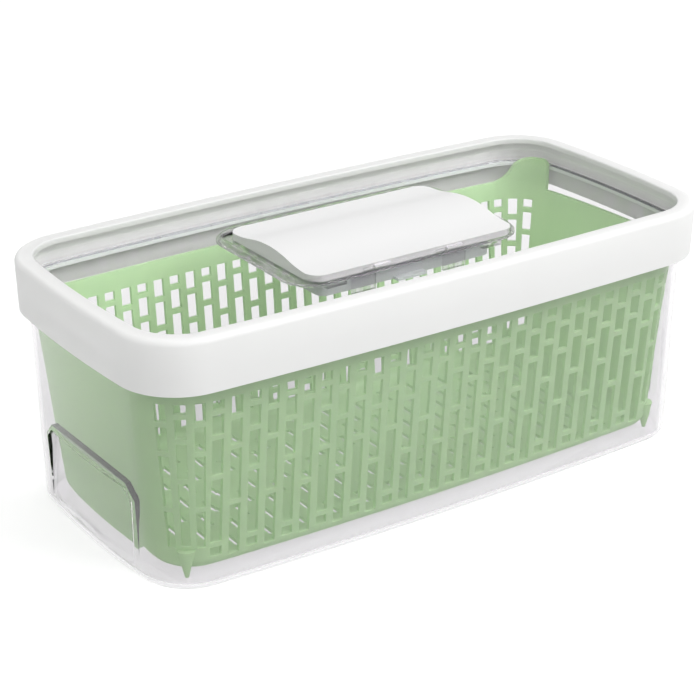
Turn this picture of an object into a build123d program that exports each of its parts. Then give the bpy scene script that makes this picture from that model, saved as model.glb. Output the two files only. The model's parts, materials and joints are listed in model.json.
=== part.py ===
"""Produce keeper: a clear bin, a slotted basket that lifts out, and a vented lid with a filter under it.

Millimetres. The origin is the centre of the bin's underside, X runs along the long side, +Z is up.
"""
import math
import os

from build123d import *

# Bin
bin_base_length = 333.0
bin_base_width = 155.2
bin_base_radius = 24.0
bin_rim_length = 342.0
bin_rim_width = 160.4
bin_rim_radius = 32.0
bin_height = 117.0
bin_wall = 2.4
bin_floor = 2.6
bin_bow = 5.0
bin_foot_fillet = 4.5

# Finger recess low in each end wall of the bin
grip_width = 86.0
grip_height = 47.5
grip_depth_top = 4.6
grip_depth_foot = 1.2
grip_corner = 8.0

# Basket
basket_rim_length = 333.0
basket_rim_width = 150.8
basket_rim_radius = 31.0
basket_base_length = 312.8
basket_base_width = 133.8
basket_base_radius = 22.0
basket_bow = 4.2
basket_wall = 2.0
basket_rim_height = 108.2
basket_lift_off = 2.4
basket_bottom_fillet = 8.0
basket_foot_top = 9.0
basket_foot_bottom = 2.0
basket_foot_height = 15.0

# Lifting ears at two opposite corners of the basket, and the end rim that slopes down to them
ear_height = 15.0
ear_start_x = 138.0
ear_crest_x = 161.0
ear_end_y = 50.0
ear_round = 4.0
end_rim_drop = 3.2

# Slots in the basket's long walls, laid like bricks, short at the top and long below
slot_width = 6.0
slot_pitch = 9.85
slot_columns = 28
slot_top = 98.0
slot_rungs_a = (91.6, 78.2, 56.4, 18.8)
slot_rungs_b = (86.8, 70.8, 40.2)
slot_rung = 2.7
slot_foot_a = 12.6
slot_foot_b = 11.2
corner_columns = 3
corner_slot_foot = 18.6

# Slots in the basket's floor, in rows laid like bricks
floor_slot_width = 3.0
floor_slot_length = 13.0
floor_rows_a = (-46.0, -23.0, 0.0, 23.0, 46.0)
floor_rows_b = (-34.5, -11.5, 11.5, 34.5)

# Lid frame, the white ring with a deep skirt
lid_length = 348.6
lid_width = 166.6
lid_radius = 33.4
lid_bow_long = 3.6
lid_bow_short = 4.2
lid_top = 134.3
lid_skirt = 27.9
lid_skirt_draft = 0.8
lid_wall = 2.2
lid_face_width = 9.0
lid_face_thickness = 2.9
lid_edge_fillet = 3.0
lid_inner_fillet = 0.9

# Lid window, the clear panel with its upstand and the flange over the bin's rim
window_recess = 6.1
window_thickness = 2.2
window_lip = 2.4
window_ring_wall = 2.2
window_flange_thickness = 1.6
window_frame_gap = 1.0
window_lip_tuck = 0.4

# Seal ring between the window's flange and the bin's rim
gasket_thickness = 2.0
gasket_width = 3.2
gasket_inset = 0.3

# Vent frame, the clear tray let into the window
vent_length = 137.0
vent_width = 86.0
vent_radius = 15.0
vent_rise = 3.0
vent_flange = 2.2
vent_flange_height = 0.9
vent_wall = 1.5
vent_long_wall = 1.8
vent_floor = 1.2
vent_floor_drop = 2.0
vent_fit = 0.2
vent_cavity_radius = 8.8
vent_barb_length = 12.0
vent_barb_reach = 1.0
vent_barb_height = 1.4
vent_barb_x = 48.0
port_count = 6
port_width = 7.0
port_pitch = 14.0
port_length = 56.0

# Vent slider, the white cover, and the shutter that it carries
slider_length = 126.0
slider_width = 80.8
slider_radius = 8.2
slider_crown = 4.1
slider_crown_width = 69.0
slider_wall = 1.6
slider_play = 0.5
slider_lift_off = 0.1
slider_travel = 7.0
rail_length = 9.5
rail_height = 1.2
rail_reach = 1.5
rail_spacing = 44.6
rail_play = 0.25
rail_drop = 0.2
rail_level = 1.7
shutter_thickness = 1.2
shutter_gap = 0.3

# Filter tray, hinged under the window, and the cartridge that lies in it
tray_length = 106.0
tray_width = 74.0
tray_depth = 8.3
tray_wall = 1.6
tray_floor = 1.4
tray_radius = 5.0
tray_gap = 0.4
tray_slot_width = 3.0
tray_slot_pitch = 7.0
tray_slot_count = 13
tray_slot_margin = 9.0
hinge_reach = 2.6
hinge_pin_radius = 1.3
hinge_pin_length = 3.0
hinge_arm = 2.0
hinge_pin_play = 0.2
hinge_drop = 2.6
hinge_lug_thickness = 2.4
hinge_lug_radius = 3.0
hinge_side_play = 0.3
catch_x = 28.0
catch_width = 14.0
catch_thickness = 1.4
catch_hook = 0.25
tab_width = 18.0
tab_reach = 4.0
tab_thickness = 1.4
catch_play = 0.4
cartridge_height = 5.0
cartridge_play = 1.6
cartridge_wall = 2.0
cartridge_radius = 4.0
sheet_thickness = 0.4

# Feet of the basket, and the locating ribs on the bin's floor beside them
rib_length = 10.0
rib_width = 1.6
rib_height = 2.4
rib_gap = 1.2
foot_x = 146.0
foot_y = 59.5

# How far a cutter runs past what it cuts, and the smallest rounding left inside a wall
past = 5.0
least_radius = 0.8

BOWS_BIN = (bin_bow, bin_bow)
BOWS_BASKET = (basket_bow, basket_bow)
BOWS_LID = (lid_bow_long, lid_bow_short)
BOWS_NONE = (0.0, 0.0)


def plan(length, width, radius, bows, z, inset=0.0):
    """A rectangle whose sides swell outwards by the bows, with rounded corners, at height z."""
    half_x = length / 2 - inset
    half_y = width / 2 - inset
    corner_x = half_x - bows[1]
    corner_y = half_y - bows[0]
    if max(bows) > 0:
        sides = [
            ThreePointArc((-corner_x, -corner_y), (0, -half_y), (corner_x, -corner_y)),
            ThreePointArc((corner_x, -corner_y), (half_x, 0), (corner_x, corner_y)),
            ThreePointArc((corner_x, corner_y), (0, half_y), (-corner_x, corner_y)),
            ThreePointArc((-corner_x, corner_y), (-half_x, 0), (-corner_x, -corner_y)),
        ]
        face = make_face(sides)
    else:
        face = Rectangle(2 * half_x, 2 * half_y)
    face = fillet(face.vertices(), max(radius - inset, least_radius))
    return Pos(0, 0, z) * face


def ring(outer, inner, height):
    """A wall of even height between two outlines at the same level."""
    return extrude(outer, height) - extrude(inner, height)


def lowest_edges(solid):
    return solid.faces().sort_by(Axis.Z)[0].edges()


def highest_edges(solid):
    return solid.faces().sort_by(Axis.Z)[-1].edges()


def box_between(x, y, z):
    """A box from its ranges along X, Y and Z."""
    size = [b - a for a, b in (x, y, z)]
    middle = [(a + b) / 2 for a, b in (x, y, z)]
    return Pos(*middle) * Box(*size)


def half_turn(shape):
    return Rot(0, 0, 180) * shape


# Heights that several pieces share
window_top = lid_top - window_recess
window_bottom = window_top - window_thickness
frame_underside = lid_top - lid_face_thickness
gasket_top = bin_height + gasket_thickness
vent_top = window_top + vent_rise
floor_bottom = window_top - vent_floor_drop
vent_floor_top = floor_bottom + vent_floor
slider_bottom = vent_floor_top + slider_lift_off
slider_shift = (vent_length / 2 - vent_wall) - slider_length / 2 - slider_play
rail_z = slider_bottom + rail_level
tray_top = floor_bottom - tray_gap
tray_bottom = tray_top - tray_depth
hinge_y = tray_width / 2 + hinge_reach
hinge_z = floor_bottom - hinge_drop
basket_bottom = bin_floor + basket_lift_off
ear_top = basket_rim_height + ear_height


def bin_body(inset, bottom):
    rim = plan(bin_rim_length, bin_rim_width, bin_rim_radius, BOWS_BIN, bin_height, inset)
    share = bottom / bin_height
    base = plan(
        bin_base_length + (bin_rim_length - bin_base_length) * share,
        bin_base_width + (bin_rim_width - bin_base_width) * share,
        bin_base_radius + (bin_rim_radius - bin_base_radius) * share,
        BOWS_BIN,
        bottom,
        inset,
    )
    body = loft([base, rim], ruled=True)
    return fillet(lowest_edges(body), max(bin_foot_fillet - inset, least_radius))


def grip_block(grow):
    """The space of one finger recess at the -X end, grown by a wall's thickness for the inside."""
    base_x = -bin_base_length / 2
    slope = (bin_rim_length - bin_base_length) / 2 / bin_height
    top = grip_height + grow
    back_top = base_x - slope * grip_height + grip_depth_top + grow
    back_foot = base_x + grip_depth_foot + grow
    far = -bin_rim_length / 2 - past
    wedge = Polyline((far, -past), (back_foot, -past), (back_foot, 0), (back_top, top), (far, top), close=True)
    deep = extrude(Plane.XZ * make_face(wedge), grip_width, both=True)
    low = -grip_corner - grow - past
    front = Pos(0, (top + low) / 2) * Rectangle(grip_width + 2 * grow, top - low)
    front = fillet(front.vertices().group_by(Axis.Y)[-1], grip_corner + grow)
    tall = Pos(far, 0, 0) * extrude(Plane.YZ * front, back_top - far + past)
    return deep & tall


def make_bin():
    shell = bin_body(0.0, 0.0)
    hollow = bin_body(bin_wall, bin_floor)
    for turn in (0, 180):
        shell -= Rot(0, 0, turn) * grip_block(0.0)
        hollow -= Rot(0, 0, turn) * grip_block(bin_wall)
    shell -= hollow
    for x in (-foot_x, foot_x):
        inner = foot_y + basket_foot_top / 2 + rib_gap
        rib = box_between(
            (x - rib_length / 2, x + rib_length / 2),
            (inner, inner + rib_width),
            (bin_floor, bin_floor + rib_height),
        )
        shell += rib
        shell += half_turn(rib)
    return shell


def basket_body(inset, bottom):
    """The basket's closed form, straight up from the rim line so that the ears stand upright."""
    rim = (basket_rim_length, basket_rim_width, basket_rim_radius, BOWS_BASKET)
    base = plan(
        basket_base_length, basket_base_width, basket_base_radius, BOWS_BASKET, bottom, inset
    )
    body = loft([base, plan(*rim, basket_rim_height, inset)], ruled=True)
    body = fillet(lowest_edges(body), basket_bottom_fillet - inset)
    return body + extrude(plan(*rim, basket_rim_height, inset), ear_height)


def rim_cutter():
    """What is cut off above the rim on the +Y wall and the +X end, leaving the ear between them."""
    high = ear_top + past
    side = -basket_rim_length / 2 - past
    middle = ((ear_start_x + ear_crest_x) / 2, (basket_rim_height + ear_top) / 2)
    rise = TangentArc((ear_start_x, basket_rim_height), middle, tangent=(1, 0))
    crest = TangentArc(middle, (ear_crest_x, ear_top), tangent=rise % 1)
    edge = [
        Polyline((ear_crest_x, ear_top), (ear_crest_x, high), (side, high), (side, basket_rim_height),
                 (ear_start_x, basket_rim_height)),
        rise,
        crest,
    ]
    over_wall = extrude(Plane.XZ * make_face(edge), -basket_rim_width)
    half_width = basket_rim_width / 2
    round_start = (ear_end_y, ear_top - ear_round)
    round_end = (ear_end_y + ear_round, ear_top)
    inwards = ear_round * (1 - math.sqrt(0.5))
    slope = [
        Polyline(
            round_end, (ear_end_y + ear_round, high), (-half_width - past, high),
            (-half_width - past, basket_rim_height), (-half_width, basket_rim_height),
            (ear_end_y, basket_rim_height - end_rim_drop), round_start,
        ),
        ThreePointArc(round_start, (ear_end_y + inwards, ear_top - inwards), round_end),
    ]
    over_end = Pos(ear_start_x, 0, 0) * extrude(Plane.YZ * make_face(slope), basket_rim_length / 2)
    return over_wall, over_end


def slot_heights(column):
    """The open stretches of one column of slots, from the top down."""
    rungs, foot = ((slot_rungs_a, slot_foot_a), (slot_rungs_b, slot_foot_b))[column % 2]
    high = slot_top
    for rung in rungs:
        yield rung + slot_rung / 2, high
        high = rung - slot_rung / 2
    yield foot, high


def column_x(column):
    return (column - (slot_columns - 1) / 2) * slot_pitch


def wall_slots():
    """Cutters through both long walls at once."""
    reach = bin_rim_width / 2
    for column in range(slot_columns):
        x = column_x(column)
        for heights in slot_heights(column):
            yield box_between((x - slot_width / 2, x + slot_width / 2), (-reach, reach), heights)


def corner_slots():
    """Wedges that carry the pattern on round the four corners, where the slots taper with the corner."""
    radius = basket_rim_radius
    centre_x = basket_rim_length / 2 - radius - basket_bow / 2
    centre_y = basket_rim_width / 2 - radius - basket_bow / 2
    near = radius / 2
    far = radius + past
    spread = slot_width / 2 / radius
    wedge = make_face(Polyline(
        (-near * spread, near), (near * spread, near), (far * spread, far), (-far * spread, far), close=True
    ))
    for end in (-1, 1):
        edge = 0 if end < 0 else slot_columns - 1
        for number in range(1, corner_columns + 1):
            column = edge + end * number
            turn = math.degrees((abs(column_x(column)) - centre_x) / radius)
            for low, high in slot_heights(column):
                low = max(low, corner_slot_foot)
                if low >= high:
                    continue
                back = Pos(end * centre_x, centre_y, low) * Rot(0, 0, -end * turn)
                front = Pos(end * centre_x, -centre_y, low) * Rot(0, 0, 180 + end * turn)
                for place in (back, front):
                    yield place * extrude(wedge, high - low)


def floor_slots():
    """Cutters through the floor."""
    for column in range(slot_columns):
        x = column_x(column)
        for y in (floor_rows_a, floor_rows_b)[column % 2]:
            yield Pos(x, y, basket_bottom) * Box(floor_slot_width, floor_slot_length, 3 * basket_wall)


def basket_foot(x, y):
    """A pointed foot from the bin's floor up to the basket's shell."""
    height = basket_foot_height
    return Pos(x, y, bin_floor + height / 2) * Cone(
        basket_foot_bottom / 2, basket_foot_top / 2, height
    )


def make_basket():
    hollow = basket_body(basket_wall, basket_bottom + basket_wall)
    shell = basket_body(0.0, basket_bottom)
    for x in (-foot_x, foot_x):
        foot = basket_foot(x, foot_y)
        shell += [foot, half_turn(foot)]
    shell -= hollow
    over_wall, over_end = rim_cutter()
    shell -= [over_wall, over_end, half_turn(over_wall), half_turn(over_end)]
    for cutters in (floor_slots(), wall_slots(), corner_slots()):
        shell -= list(cutters)
    return shell


def make_lid_frame():
    foot = lid_top - lid_skirt

    def body(inset, low, high):
        levels = []
        for z in (low, high):
            lean = lid_skirt_draft * (lid_top - z) / lid_skirt
            levels.append(plan(lid_length, lid_width, lid_radius, BOWS_LID, z, inset + lean))
        return loft(levels, ruled=True)

    shell = fillet(highest_edges(body(0.0, foot, lid_top)), lid_edge_fillet)
    shell -= body(lid_wall, foot, frame_underside)
    opening = extrude(
        plan(lid_length, lid_width, lid_radius, BOWS_LID, frame_underside, lid_face_width), lid_face_thickness
    )
    shell -= opening
    top_face = shell.faces().sort_by(Axis.Z)[-1]
    return fillet(top_face.inner_wires()[0].edges(), lid_inner_fillet)


def window_plan(z, inset):
    return plan(lid_length, lid_width, lid_radius, BOWS_LID, z, inset)


def vent_plan(z, grow=0.0):
    """The vent's outline, grown all round."""
    return plan(vent_length, vent_width, vent_radius, BOWS_NONE, z, -grow)


def make_lid_window():
    lip_inner = lid_face_width + window_lip_tuck
    lip_outer = lip_inner - window_lip
    ring_outer = lip_outer - window_ring_wall
    panel = extrude(window_plan(window_bottom, lip_outer), window_thickness)
    lip = ring(window_plan(window_bottom, lip_outer), window_plan(window_bottom, lip_inner),
               frame_underside - window_bottom)
    wall = ring(window_plan(gasket_top, ring_outer), window_plan(gasket_top, lip_outer),
                frame_underside - gasket_top)
    flange = ring(window_plan(gasket_top, lid_wall + window_frame_gap), window_plan(gasket_top, lip_outer),
                  window_flange_thickness)
    body = panel + [lip, wall, flange]
    body -= extrude(vent_plan(window_bottom, vent_fit), window_thickness)
    return body


def make_gasket():
    outer = plan(bin_rim_length, bin_rim_width, bin_rim_radius, BOWS_BIN, bin_height, gasket_inset)
    inner = plan(
        bin_rim_length, bin_rim_width, bin_rim_radius, BOWS_BIN, bin_height, gasket_inset + gasket_width
    )
    return ring(outer, inner, gasket_thickness)


def port_boxes(shift, low, high):
    """The vent's ports, as cutters from low to high."""
    for number in range(port_count):
        x = (number - (port_count - 1) / 2) * port_pitch + shift
        along = (x - port_width / 2, x + port_width / 2)
        yield box_between(along, (-port_length / 2, port_length / 2), (low, high))


def hinge_rod(near, far, radius):
    """A rod on the tray's hinge line between two places along X."""
    return Pos((near + far) / 2, hinge_y, hinge_z) * Rot(0, 90, 0) * Cylinder(radius, abs(far - near))


def tray_holders():
    """The two hinge eyes and the sprung catch that hang under the vent for the filter tray."""
    holders = []
    for side in (-1, 1):
        near = side * (tray_length / 2 + hinge_side_play)
        far = near + side * hinge_lug_thickness
        plate = box_between(
            sorted((near, far)), (hinge_y - hinge_lug_radius, hinge_y + hinge_lug_radius), (hinge_z, floor_bottom)
        )
        lug = plate + hinge_rod(near, far, hinge_lug_radius)
        holders.append(lug - hinge_rod(near, far, hinge_pin_radius + hinge_pin_play))
    catch_y = -(tray_width / 2 + catch_play)
    low = tray_bottom - catch_play - catch_thickness
    for x in (-catch_x, catch_x):
        along = (x - catch_width / 2, x + catch_width / 2)
        holders.append(box_between(along, (catch_y - catch_thickness, catch_y), (low, floor_bottom)))
        holders.append(box_between(along, (catch_y, catch_y + catch_hook), (low, low + catch_thickness)))
    return holders


def make_vent_frame():
    body = extrude(vent_plan(floor_bottom), vent_top - floor_bottom)
    base = vent_plan(window_top, vent_flange)
    shoulder = vent_plan(window_top + vent_flange_height, vent_flange)
    body += extrude(base, vent_flange_height)
    body += loft([shoulder, vent_plan(vent_top)], ruled=True)
    cavity = Pos(0, 0, vent_floor_top) * fillet(
        Rectangle(vent_length - 2 * vent_wall, vent_width - 2 * vent_long_wall).vertices(), vent_cavity_radius
    )
    body -= extrude(cavity, vent_top - vent_floor_top)
    body -= list(port_boxes(0.0, floor_bottom, vent_floor_top))
    notch = rail_length + slider_travel + 2 * rail_play
    for x in (-rail_spacing / 2, rail_spacing / 2):
        for side in (-1, 1):
            across = sorted((side * slider_width / 2, side * (slider_width / 2 + rail_reach + rail_play)))
            body -= box_between(
                (x - notch / 2, x + notch / 2), across,
                (rail_z - rail_height / 2 - rail_drop, rail_z + rail_height / 2 + rail_drop),
            )
    for x in (-vent_barb_x, vent_barb_x):
        for side in (-1, 1):
            edge = side * (vent_width / 2 - vent_long_wall)
            tip = side * (vent_width / 2 + vent_fit + vent_barb_reach)
            along = (x - vent_barb_length / 2, x + vent_barb_length / 2)
            foot = window_bottom - vent_barb_height
            body += box_between(along, sorted((edge, side * vent_width / 2)), (foot, floor_bottom))
            body += box_between(along, sorted((edge, tip)), (foot, window_bottom))
    return body + tray_holders()


def slider_top(drop):
    """The slider's crowned section across the vent, lowered by drop."""
    flat = vent_top - drop
    half = slider_width / 2 - drop
    crown = slider_crown_width / 2 - drop
    middle_z = flat + slider_crown
    left_rise = TangentArc((-crown, flat), (-crown / 2, flat + slider_crown / 2), tangent=(1, 0))
    left_crest = TangentArc((-crown / 2, flat + slider_crown / 2), (0, middle_z), tangent=left_rise % 1)
    right_crest = TangentArc((0, middle_z), (crown / 2, flat + slider_crown / 2), tangent=(1, 0))
    right_fall = TangentArc((crown / 2, flat + slider_crown / 2), (crown, flat), tangent=right_crest % 1)
    sides = Polyline(
        (crown, flat), (half, flat), (half, slider_bottom - drop), (-half, slider_bottom - drop), (-half, flat),
        (-crown, flat),
    )
    return make_face([left_rise, left_crest, right_crest, right_fall, sides])


def make_vent_slider():
    outline = fillet(Rectangle(slider_length, slider_width).vertices(), slider_radius)
    height = vent_top + slider_crown - slider_bottom
    tall = extrude(Pos(0, 0, slider_bottom) * outline, height)
    body = extrude(Plane.YZ * slider_top(0.0), slider_length / 2, both=True) & tall
    inner_outline = fillet(
        Rectangle(slider_length - 2 * slider_wall, slider_width - 2 * slider_wall).vertices(),
        slider_radius - slider_wall,
    )
    inner_tall = extrude(Pos(0, 0, slider_bottom) * inner_outline, height)
    body -= extrude(Plane.YZ * slider_top(slider_wall), slider_length / 2, both=True) & inner_tall
    body = Pos(slider_shift, 0, 0) * body
    for x in (-rail_spacing / 2, rail_spacing / 2):
        rail_x = x + slider_travel / 2
        for side in (-1, 1):
            across = sorted((side * (slider_width / 2 - slider_wall), side * (slider_width / 2 + rail_reach)))
            body += box_between(
                (rail_x - rail_length / 2, rail_x + rail_length / 2), across,
                (rail_z - rail_height / 2, rail_z + rail_height / 2),
            )
    return body


def make_vent_shutter():
    inset = slider_wall + shutter_gap
    outline = fillet(
        Rectangle(slider_length - 2 * inset, slider_width - 2 * inset).vertices(), slider_radius - inset
    )
    plate = Pos(slider_shift, 0, slider_bottom) * extrude(outline, shutter_thickness)
    return plate - list(port_boxes(slider_travel, slider_bottom, slider_bottom + shutter_thickness))


def tray_plan(z, inset=0.0):
    return plan(tray_length, tray_width, tray_radius, BOWS_NONE, z, inset)


def make_filter_tray():
    body = extrude(tray_plan(tray_bottom), tray_depth)
    body -= extrude(tray_plan(tray_bottom + tray_floor, tray_wall), tray_depth)
    slot_reach = tray_width / 2 - tray_slot_margin
    for number in range(tray_slot_count):
        x = (number - (tray_slot_count - 1) / 2) * tray_slot_pitch
        body -= box_between(
            (x - tray_slot_width / 2, x + tray_slot_width / 2), (-slot_reach, slot_reach),
            (tray_bottom, tray_bottom + tray_floor),
        )
    front = -tray_width / 2
    body += box_between(
        (-tab_width / 2, tab_width / 2), (front - tab_reach, front), (tray_bottom, tray_bottom + tab_thickness)
    )
    for side in (-1, 1):
        outer = side * tray_length / 2
        inner = outer - side * hinge_arm
        body += box_between(
            sorted((inner, outer)), (tray_width / 2 - 2 * tray_radius, hinge_y),
            (hinge_z - hinge_pin_radius, hinge_z + hinge_pin_radius),
        )
        body += hinge_rod(inner, outer, hinge_pin_radius) + hinge_rod(outer, outer + side * hinge_pin_length,
                                                                      hinge_pin_radius)
    return body


def cartridge_plan(z, inset=0.0):
    return tray_plan(z, tray_wall + cartridge_play + inset)


cartridge_bottom = tray_bottom + tray_floor


def make_filter_frame():
    outer = cartridge_plan(cartridge_bottom)
    inner = cartridge_plan(cartridge_bottom, cartridge_wall)
    return ring(outer, inner, cartridge_height)


def make_carbon_pad():
    core = cartridge_height - 2 * sheet_thickness
    return extrude(cartridge_plan(cartridge_bottom + sheet_thickness, cartridge_wall), core)


def make_filter_sheets():
    lower = extrude(cartridge_plan(cartridge_bottom, cartridge_wall), sheet_thickness)
    upper = Pos(0, 0, cartridge_height - sheet_thickness) * lower
    return Compound(children=[lower.solid(), upper.solid()])


NODES = {
    "bin": make_bin,
    "basket": make_basket,
    "lid_frame": make_lid_frame,
    "lid_window": make_lid_window,
    "lid_gasket": make_gasket,
    "vent_frame": make_vent_frame,
    "vent_slider": make_vent_slider,
    "vent_shutter": make_vent_shutter,
    "filter_tray": make_filter_tray,
    "filter_frame": make_filter_frame,
    "carbon_pad": make_carbon_pad,
    "filter_sheets": make_filter_sheets,
}

os.makedirs("parts", exist_ok=True)
for name, make in NODES.items():
    shape = make()
    if len(shape.solids()) == 1:
        shape = shape.solid()
    export_step(shape, f"parts/{name}.step")
    print(name, len(shape.solids()), round(shape.volume), shape.bounding_box())
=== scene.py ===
import json
import math

import bmesh
import bpy
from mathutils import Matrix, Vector

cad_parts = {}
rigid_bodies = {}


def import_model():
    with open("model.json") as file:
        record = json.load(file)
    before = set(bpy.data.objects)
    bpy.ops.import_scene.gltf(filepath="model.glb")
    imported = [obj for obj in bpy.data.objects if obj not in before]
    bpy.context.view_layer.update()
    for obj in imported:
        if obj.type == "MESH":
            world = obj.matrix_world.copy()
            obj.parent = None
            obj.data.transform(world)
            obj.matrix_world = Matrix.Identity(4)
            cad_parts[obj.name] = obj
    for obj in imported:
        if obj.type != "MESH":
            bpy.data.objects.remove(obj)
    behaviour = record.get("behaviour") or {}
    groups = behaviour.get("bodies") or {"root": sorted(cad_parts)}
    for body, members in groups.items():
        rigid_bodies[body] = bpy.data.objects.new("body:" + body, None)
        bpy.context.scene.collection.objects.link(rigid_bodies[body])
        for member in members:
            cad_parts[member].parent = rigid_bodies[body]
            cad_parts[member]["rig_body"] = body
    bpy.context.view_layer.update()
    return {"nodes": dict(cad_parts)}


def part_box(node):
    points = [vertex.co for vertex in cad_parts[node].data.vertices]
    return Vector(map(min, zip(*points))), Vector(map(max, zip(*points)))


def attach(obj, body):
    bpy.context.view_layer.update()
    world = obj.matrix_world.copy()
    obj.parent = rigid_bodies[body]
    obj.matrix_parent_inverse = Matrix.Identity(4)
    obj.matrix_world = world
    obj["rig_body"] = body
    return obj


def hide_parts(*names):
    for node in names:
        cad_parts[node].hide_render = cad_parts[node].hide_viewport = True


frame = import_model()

bpy.ops.object.select_all(action="DESELECT")

# Camera, where the photographer stood
camera_azimuth = math.radians(-34.41)
camera_elevation = math.radians(23.95)
camera_distance = 1.0642
camera_lens = 104.08
camera_sensor = 36.0
look_at = Vector((-0.0104, -0.0004, 0.0660))

# Bin, in metres; its rim is as large as the CAD's
rim_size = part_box("bin")[1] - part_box("bin")[0]
base_length = 0.333
base_width = 0.1552
base_radius = 0.024
rim_radius = 0.032
bin_bow = 0.005
bin_wall = 0.0024
bin_floor = 0.0026
foot_round = 0.0045
floor_round = 0.0021
recess_width = 0.086
recess_height = 0.0475
recess_top_depth = 0.0046
recess_foot_depth = 0.0012
recess_corner = 0.008
recess_reach = 0.02
recess_run_out = 0.1
hollow_past_rim = 0.001
side_points = 36
corner_points = 20
round_steps = 8

# Meshes
merge_within = 0.000005
same_place = 1e-6
smooth_below = math.radians(32)

# Studio
floor_size = 8.0
floor_tone = 0.50
floor_glow = 0.60
world_light = 0.8
key_power = 18.0
key_size = 1.1
key_place = Vector((0.75, -1.0, 1.35))
fill_power = 6.0
fill_size = 1.2
fill_place = Vector((-0.8, -1.0, 1.3))
light_bounces = 24


class Wire:
    """A shader socket that takes part in sums."""

    def __init__(self, shade, socket):
        self.shade = shade
        self.socket = socket

    def _math(self, operation, first, second):
        return self.shade.node("ShaderNodeMath", {"operation": operation}, {0: first, 1: second})

    def __add__(self, other):
        return self._math("ADD", self, other)

    def __radd__(self, other):
        return self._math("ADD", other, self)

    def __mul__(self, other):
        return self._math("MULTIPLY", self, other)

    def __rmul__(self, other):
        return self._math("MULTIPLY", other, self)

    def at_most(self, other):
        return self._math("MINIMUM", self, other)

    def at_least(self, other):
        return self._math("MAXIMUM", self, other)


class Shade:
    """One material or world being made up of nodes."""

    def __init__(self, owner):
        owner.use_nodes = True
        self.tree = owner.node_tree
        self.tree.nodes.clear()

    def node(self, kind, settings=None, sockets=None, out=0):
        """A node with its settings and its sockets' values or links; gives one of its outputs."""
        made = self.tree.nodes.new(kind)
        for key, value in (settings or {}).items():
            setattr(made, key, value)
        for key, value in (sockets or {}).items():
            if isinstance(value, Wire):
                self.tree.links.new(value.socket, made.inputs[key])
            else:
                made.inputs[key].default_value = value
        return Wire(self, made.outputs[out])

    def place(self):
        """Where on the piece a point lies, in metres."""
        return self.node("ShaderNodeTexCoord", out="Object")

    def grain(self, size, detail=3.0, roughness=0.5):
        """Soft noise between 0 and 1, with spots about as large as size in metres."""
        return self.node("ShaderNodeTexNoise", sockets={
            "Vector": self.place(),
            "Scale": 1.0 / size,
            "Detail": detail,
            "Roughness": roughness,
        })

    def tint(self, factor, low, high):
        """A colour between low and high; the Mix node's colour sockets are reached by number."""
        ends = {"Factor": factor, 6: (*low, 1.0), 7: (*high, 1.0)}
        return self.node("ShaderNodeMix", {"data_type": "RGBA"}, ends, out=2)

    def bump(self, height, depth, strength=1.0):
        """A normal for a surface that is depth metres deep in its relief."""
        return self.node("ShaderNodeBump", sockets={
            "Height": height,
            "Distance": depth,
            "Strength": strength,
        })

    def ray(self, *kinds):
        """1 on rays of any of these kinds, such as Is Camera Ray."""
        total = 0.0
        for kind in kinds:
            total = self.node("ShaderNodeLightPath", out=kind) + total
        return total.at_most(1.0)

    def mix(self, factor, first, second):
        return self.node("ShaderNodeMixShader", sockets={0: factor, 1: first, 2: second})

    def surface(self, shader, kind="ShaderNodeOutputMaterial"):
        """The shader goes to the output of the material, or of the world."""
        output = self.tree.nodes.new(kind)
        self.tree.links.new(shader.socket, output.inputs["Surface"])


def material(name):
    """A new material and the shade that makes it up."""
    made = bpy.data.materials.new(name)
    return made, Shade(made)


def clear_plastic(name, tint, ior, passed, straight_share):
    """Polished clear plastic. Shadow rays, and a share of the others, go straight through it."""
    made, shade = material(name)
    body = shade.node("ShaderNodeBsdfPrincipled", sockets={
        "Base Color": shade.tint(shade.grain(0.05), tint, [min(c * 1.01, 1.0) for c in tint]),
        "Roughness": shade.grain(0.004) * 0.01,
        "Transmission Weight": 1.0,
        "IOR": ior,
    })
    straight = shade.node("ShaderNodeBsdfTransparent", sockets={"Color": (*passed, 1.0)})
    shade.surface(shade.mix(shade.ray("Is Shadow Ray").at_least(straight_share), body, straight))
    return made


def translucent_plastic(name, low, high, through, share, roughness):
    """Satin plastic that light soaks through."""
    made, shade = material(name)
    colour = shade.tint(shade.grain(0.03), low, high)
    skin = shade.node("ShaderNodeBsdfPrincipled", sockets={
        "Base Color": colour,
        "Roughness": shade.grain(0.006) * 0.06 + roughness,
        "IOR": 1.46,
        "Normal": shade.bump(shade.grain(0.0012), 0.00003, 0.4),
    })
    inside = shade.node("ShaderNodeBsdfTranslucent", sockets={"Color": (*through, 1.0)})
    shade.surface(shade.mix(share, skin, inside))
    return made


def opaque_plastic(name, low, high, roughness):
    """Moulded plastic with the faint orange peel of its mould."""
    made, shade = material(name)
    skin = shade.node("ShaderNodeBsdfPrincipled", sockets={
        "Base Color": shade.tint(shade.grain(0.04), low, high),
        "Roughness": shade.grain(0.003) * 0.08 + roughness,
        "Normal": shade.bump(shade.grain(0.0015), 0.00002, 0.5),
    })
    shade.surface(skin)
    return made


def felt(name, low, high, fibre, depth):
    """Matted fibres."""
    made, shade = material(name)
    fibres = shade.grain(fibre, 8.0, 0.7)
    skin = shade.node("ShaderNodeBsdfPrincipled", sockets={
        "Base Color": shade.tint(fibres, low, high),
        "Roughness": 0.95,
        "Normal": shade.bump(fibres, depth),
    })
    shade.surface(skin)
    return made


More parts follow.
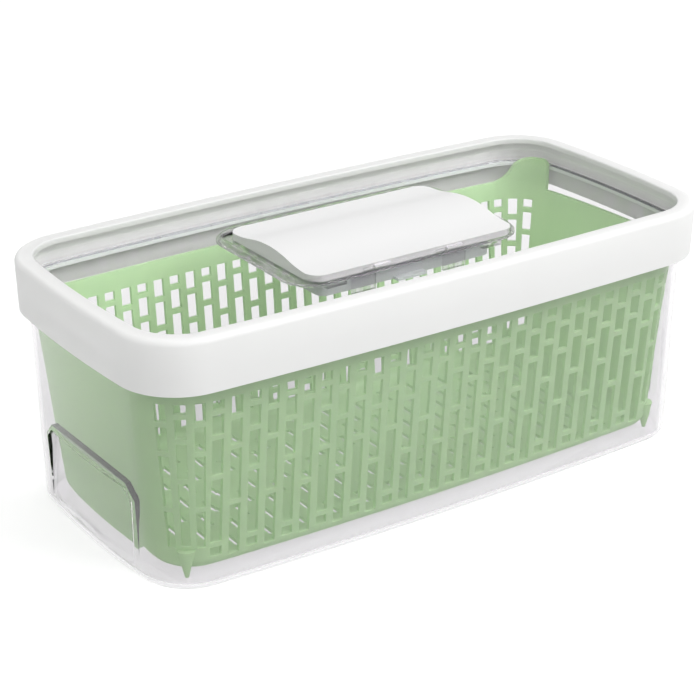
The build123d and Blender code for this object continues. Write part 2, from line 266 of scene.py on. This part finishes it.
# Finishes
clear_bin = clear_plastic("bin_clear", (0.80, 0.79, 0.805), 1.42, (0.96, 0.957, 0.96), 0.0)
clear_lid = clear_plastic("lid_clear", (0.965, 0.96, 0.965), 1.08, (0.98, 0.98, 0.98), 0.0)
clear_vent = clear_plastic("vent_clear", (0.95, 0.935, 0.95), 1.15, (0.93, 0.92, 0.935), 0.45)
green = translucent_plastic(
    "basket_green", (0.58, 0.77, 0.52), (0.64, 0.79, 0.52), (0.72, 0.89, 0.62), 0.5, 0.38
)
white = translucent_plastic(
    "lid_white", (0.90, 0.90, 0.895), (0.92, 0.92, 0.915), (0.95, 0.95, 0.95), 0.3, 0.32
)
white_cover = opaque_plastic("vent_white", (0.66, 0.66, 0.66), (0.68, 0.68, 0.68), 0.3)
grey = translucent_plastic(
    "tray_grey", (0.66, 0.67, 0.69), (0.70, 0.71, 0.73), (0.72, 0.73, 0.75), 0.5, 0.3
)
seal = translucent_plastic(
    "seal_silicone", (0.82, 0.83, 0.84), (0.85, 0.86, 0.87), (0.85, 0.86, 0.87), 0.4, 0.5
)
carbon = felt("carbon_felt", (0.03, 0.03, 0.033), (0.09, 0.09, 0.095), 0.0006, 0.0004)
cloth = felt("filter_cloth", (0.78, 0.78, 0.77), (0.90, 0.90, 0.89), 0.0004, 0.0001)


def select_only(piece):
    bpy.ops.object.select_all(action="DESELECT")
    piece.select_set(True)
    bpy.context.view_layer.objects.active = piece


def face_outwards():
    """In edit mode: every face of the closed body looks out. Ends edit mode."""
    bpy.ops.mesh.select_all(action="SELECT")
    bpy.ops.mesh.normals_make_consistent(inside=False)
    bpy.ops.object.mode_set(mode="OBJECT")


def moulded(name, node, finish):
    """A CAD node's own shape with its seams merged and its curves smooth."""
    cad = frame["nodes"][node]
    piece = bpy.data.objects.new(name, cad.data.copy())
    bpy.context.scene.collection.objects.link(piece)
    select_only(piece)
    if piece.data.has_custom_normals:
        bpy.ops.mesh.customdata_custom_splitnormals_clear()
    bpy.ops.object.mode_set(mode="EDIT")
    bpy.ops.mesh.select_all(action="SELECT")
    bpy.ops.mesh.remove_doubles(threshold=merge_within)
    bpy.ops.object.mode_set(mode="OBJECT")
    bpy.ops.object.shade_smooth_by_angle(angle=smooth_below)
    piece.data.materials.clear()
    piece.data.materials.append(finish)
    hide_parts(node)
    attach(piece, cad["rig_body"])


def outline(length, width, radius, bow, height):
    """Points round a rectangle with rounded corners and sides that swell by the bow."""
    points = []
    corner_x = length / 2 - radius
    corner_y = width / 2 - radius
    for start, sign_x, sign_y in ((0, 1, 1), (90, -1, 1), (180, -1, -1), (270, 1, -1)):
        for step in range(corner_points + 1):
            angle = math.radians(start + 90 * step / corner_points)
            points.append((
                sign_x * corner_x + radius * math.cos(angle),
                sign_y * corner_y + radius * math.sin(angle),
            ))
        end_x, end_y = points[-1]
        along_x = start in (0, 180)
        for step in range(1, side_points):
            share = step / side_points
            if along_x:
                points.append((end_x * (1 - 2 * share), end_y))
            else:
                points.append((end_x, end_y * (1 - 2 * share)))
    swollen = []
    for x, y in points:
        swell_x = 1 - bow * (2 * y / width) ** 2 / (length / 2)
        swell_y = 1 - bow * (2 * x / length) ** 2 / (width / 2)
        swollen.append(Vector((x * swell_x, y * swell_y, height)))
    return swollen


def bin_outline(height, inset):
    """The bin's outline at a height, moved inwards by the inset."""
    share = height / rim_size.z
    return outline(
        base_length + (rim_size.x - base_length) * share - 2 * inset,
        base_width + (rim_size.y - base_width) * share - 2 * inset,
        base_radius + (rim_radius - base_radius) * share - inset,
        bin_bow,
        height,
    )


def spot(point):
    """A point's place to a thousandth of a millimetre, to find it again in a mesh."""
    return tuple(round(c, 6) for c in point)


def risen(name, levels):
    """A closed body: the first outline as a face, extruded up through the others."""
    bpy.ops.object.select_all(action="DESELECT")
    bpy.ops.mesh.primitive_circle_add(vertices=len(levels[0]), radius=0.1, fill_type="NGON")
    body = bpy.context.active_object
    body.name = name
    for vertex, point in zip(body.data.vertices, levels[0]):
        vertex.co = point
    bpy.ops.object.mode_set(mode="EDIT")
    bpy.ops.mesh.select_all(action="SELECT")
    for below, level in zip(levels, levels[1:]):
        bpy.ops.mesh.extrude_region_move()
        sheet = bmesh.from_edit_mesh(body.data)
        place = {spot(point): to for point, to in zip(below, level)}
        for vertex in [v for v in sheet.verts if v.select]:
            vertex.co = place[spot(vertex.co)]
        bmesh.update_edit_mesh(body.data)
    face_outwards()
    return body


def cut(body, tool):
    """The tool is cut out of the body and removed."""
    change = body.modifiers.new("cut", "BOOLEAN")
    change.object = tool
    change.operation = "DIFFERENCE"
    change.solver = "EXACT"
    bpy.context.view_layer.objects.active = body
    bpy.ops.object.modifier_apply(modifier=change.name)
    bpy.data.objects.remove(tool)


def bin_body(name, inset, bottom, rounding, top):
    """The bin's form from its rounded foot up to the top."""
    levels = []
    for step in range(round_steps + 1):
        turn = math.radians(90 * step / round_steps)
        height = bottom + rounding * (1 - math.cos(turn))
        levels.append(bin_outline(height, inset + rounding * (1 - math.sin(turn))))
    levels.append(bin_outline(top, inset))
    return risen(name, levels)


def recess_block(name, end, grow):
    """The space of one finger recess, from past the bin's end inwards, grown for the wall's inside.

    Its inner face leans with the end wall, and it runs out below the foot.
    """
    lean = (rim_size.x - base_length) / 2 / rim_size.z
    high = recess_height + grow
    foot = base_length / 2 - recess_foot_depth - grow
    head = base_length / 2 + lean * recess_height - recess_top_depth - grow
    outside = base_length / 2 + recess_reach
    bpy.ops.object.select_all(action="DESELECT")
    bpy.ops.mesh.primitive_cube_add(size=1.0)
    block = bpy.context.active_object
    block.name = name
    half = recess_width / 2 + grow
    for vertex in block.data.vertices:
        near = vertex.co.x < 0
        up = vertex.co.z > 0
        side = math.copysign(half, vertex.co.y)
        inner = head if up else foot - (head - foot) * recess_run_out
        level = high if up else -recess_run_out * high
        vertex.co = (end * (inner if near else outside), side * end, level)
    bpy.ops.object.mode_set(mode="EDIT")
    bpy.ops.mesh.select_mode(type="EDGE")
    bpy.ops.mesh.select_all(action="DESELECT")
    sheet = bmesh.from_edit_mesh(block.data)
    for edge in sheet.edges:
        a, b = (v.co for v in edge.verts)
        edge.select = a.z > 0 and b.z > 0 and abs(a.y - b.y) < same_place
    bmesh.update_edit_mesh(block.data)
    bpy.ops.mesh.bevel(offset=recess_corner + grow, offset_type="WIDTH", segments=1, profile=0.5)
    face_outwards()
    return block


def clear_bin_piece():
    """The bin with walls of even thickness and a recess for the fingers in each end."""
    shell = bin_body("clear_bin", 0.0, 0.0, foot_round, rim_size.z)
    hollow_top = rim_size.z + hollow_past_rim
    hollow = bin_body("bin_hollow", bin_wall, bin_floor, floor_round, hollow_top)
    for end in (-1, 1):
        cut(shell, recess_block("recess", end, 0.0))
        cut(hollow, recess_block("recess", end, bin_wall))
    cut(shell, hollow)
    select_only(shell)
    bpy.ops.object.shade_smooth_by_angle(angle=smooth_below)
    shell.data.materials.append(clear_bin)
    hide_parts("bin")
    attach(shell, "bin")


clear_bin_piece()
moulded("green_basket", "basket", green)
moulded("white_lid_frame", "lid_frame", white)
moulded("clear_lid_window", "lid_window", clear_lid)
moulded("seal_ring", "lid_gasket", seal)
moulded("clear_vent_frame", "vent_frame", clear_vent)
moulded("white_vent_slider", "vent_slider", white_cover)
moulded("white_vent_shutter", "vent_shutter", white_cover)
moulded("grey_filter_tray", "filter_tray", grey)
moulded("cartridge_frame", "filter_frame", white)
moulded("carbon_felt_pad", "carbon_pad", carbon)
moulded("filter_cloths", "filter_sheets", cloth)

# Floor, which stays white to the eye and keeps the soft shadow
bpy.ops.mesh.primitive_plane_add(size=floor_size, location=(0, 0, 0))
floor = bpy.context.active_object
floor.name = "studio_floor"
floor_finish, shade = material("studio_floor")
floor_colour = (floor_tone, floor_tone, floor_tone, 1.0)
lit = shade.node("ShaderNodeBsdfDiffuse", sockets={"Color": floor_colour})
glow = shade.node("ShaderNodeEmission", sockets={
    "Color": (1.0, 1.0, 1.0, 1.0),
    "Strength": floor_glow * shade.ray("Is Camera Ray", "Is Glossy Ray", "Is Transmission Ray"),
})
shade.surface(shade.node("ShaderNodeAddShader", sockets={0: lit, 1: glow}))
floor.data.materials.append(floor_finish)

# World, white where it is seen, in mirrors and through the clear walls
world = bpy.data.worlds.new("studio")
bpy.context.scene.world = world
shade = Shade(world)
seen = shade.ray("Is Camera Ray", "Is Glossy Ray", "Is Transmission Ray")
backdrop = shade.node("ShaderNodeBackground", sockets={
    "Color": (1.0, 1.0, 1.0, 1.0),
    "Strength": seen * (1.0 - world_light) + world_light,
})
shade.surface(backdrop, "ShaderNodeOutputWorld")


def soft_box(name, place, size, power):
    """A square lamp that faces the keeper."""
    lamp = bpy.data.lights.new(name, "AREA")
    lamp.size = size
    lamp.energy = power
    stand = bpy.data.objects.new(name, lamp)
    stand.location = place
    stand.rotation_euler = (look_at - place).to_track_quat("-Z", "Y").to_euler()
    bpy.context.scene.collection.objects.link(stand)


soft_box("key_light", key_place, key_size, key_power)
soft_box("fill_light", fill_place, fill_size, fill_power)

camera = bpy.data.objects.new("camera", bpy.data.cameras.new("camera"))
bpy.context.scene.collection.objects.link(camera)
back = Vector((
    math.sin(camera_azimuth) * math.cos(camera_elevation),
    -math.cos(camera_azimuth) * math.cos(camera_elevation),
    math.sin(camera_elevation),
))
camera.location = look_at + back * camera_distance
camera.rotation_euler = (-back).to_track_quat("-Z", "Y").to_euler()
camera.data.lens = camera_lens
camera.data.sensor_width = camera_sensor
bpy.context.scene.camera = camera

scene = bpy.context.scene
scene.view_settings.view_transform = "Standard"
scene.cycles.max_bounces = light_bounces
scene.cycles.transmission_bounces = light_bounces
scene.cycles.transparent_max_bounces = light_bounces
